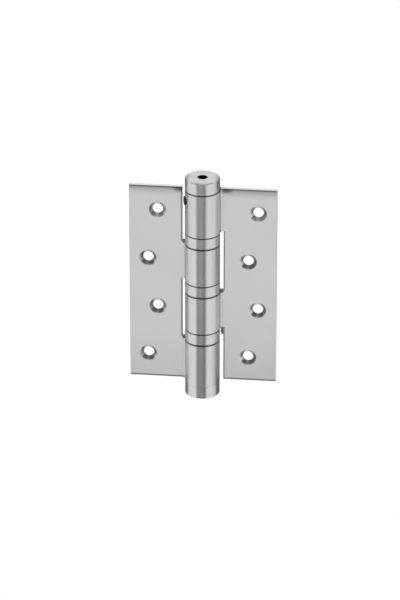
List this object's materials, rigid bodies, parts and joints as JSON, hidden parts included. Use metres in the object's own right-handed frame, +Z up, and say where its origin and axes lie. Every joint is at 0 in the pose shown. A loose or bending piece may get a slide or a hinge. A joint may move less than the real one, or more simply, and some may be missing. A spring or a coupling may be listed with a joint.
{
  "type": "ball bearing spring hinge",
  "caption": "Self-closing butt hinge with two countersunk leaves, rolled knuckles, thrust bearing collars and a torsion spring wound by a hex socket cap.",
  "frame": {"origin": "on the barrel's axis at mid height, which is the centre of the part's box", "axes": "+Z up along the barrel towards the tension cap, +X towards the frame leaf, -Y towards the viewer and the countersunk faces; the leaves lie open and flat"},
  "size_m": [0.089, 0.021, 0.143],
  "materials": {
    "satin_stainless": "satin stainless steel",
    "black_oxide": "black oxide steel",
    "turned_steel": "turned carbon steel",
    "spring_steel": "oiled spring steel wire",
    "cage_brass": "pressed brass",
    "bearing_steel": "polished bearing steel"
  },
  "bodies": {
    "frame_side": {"frame_leaf": "satin_stainless", "spindle_tube": "turned_steel", "lock_screw": "black_oxide", "top_race_washer": "turned_steel", "middle_bearing_cup": "satin_stainless", "bottom_race_washer": "turned_steel", "torsion_spring": "spring_steel"},
    "door_side": {"door_leaf": "satin_stainless", "top_bearing_cup": "satin_stainless", "middle_race_washer": "turned_steel", "bottom_bearing_cup": "satin_stainless", "spring_anchor": "turned_steel", "bottom_cap": "satin_stainless"},
    "tension_adjuster": {"tension_cap": "satin_stainless"},
    "top_ball_ring": {"top_ball_cage": "cage_brass", "top_balls": "bearing_steel"},
    "middle_ball_ring": {"middle_ball_cage": "cage_brass", "middle_balls": "bearing_steel"},
    "bottom_ball_ring": {"bottom_ball_cage": "cage_brass", "bottom_balls": "bearing_steel"}
  },
  "joints": [
    {"name": "leaf_swing", "type": "hinge", "parent": "frame_side", "child": "door_side", "pos_m": [0, 0, 0], "axis": [0, 0, 1], "range_deg": [0, 180], "stiffness_Nm_per_rad": 0.6, "deforming": ["torsion_spring"]},
    {"name": "tension_adjust", "type": "hinge", "parent": "frame_side", "child": "tension_adjuster", "pos_m": [0, 0, 0.0635], "axis": [0, 0, 1], "range_deg": [0, 180], "deforming": ["torsion_spring"]},
    {"name": "top_ball_roll", "type": "hinge", "parent": "frame_side", "child": "top_ball_ring", "pos_m": [0, 0, 0.0319], "axis": [0, 0, 1], "range_deg": [0, 90]},
    {"name": "middle_ball_roll", "type": "hinge", "parent": "frame_side", "child": "middle_ball_ring", "pos_m": [0, 0, 0], "axis": [0, 0, 1], "range_deg": [0, 90]},
    {"name": "bottom_ball_roll", "type": "hinge", "parent": "frame_side", "child": "bottom_ball_ring", "pos_m": [0, 0, -0.0319], "axis": [0, 0, 1], "range_deg": [0, 90]}
  ],
  "couplings": [
    {"joint": "top_ball_roll", "follows": "leaf_swing", "ratio": 0.5},
    {"joint": "middle_ball_roll", "follows": "leaf_swing", "ratio": 0.5},
    {"joint": "bottom_ball_roll", "follows": "leaf_swing", "ratio": 0.5}
  ]
}
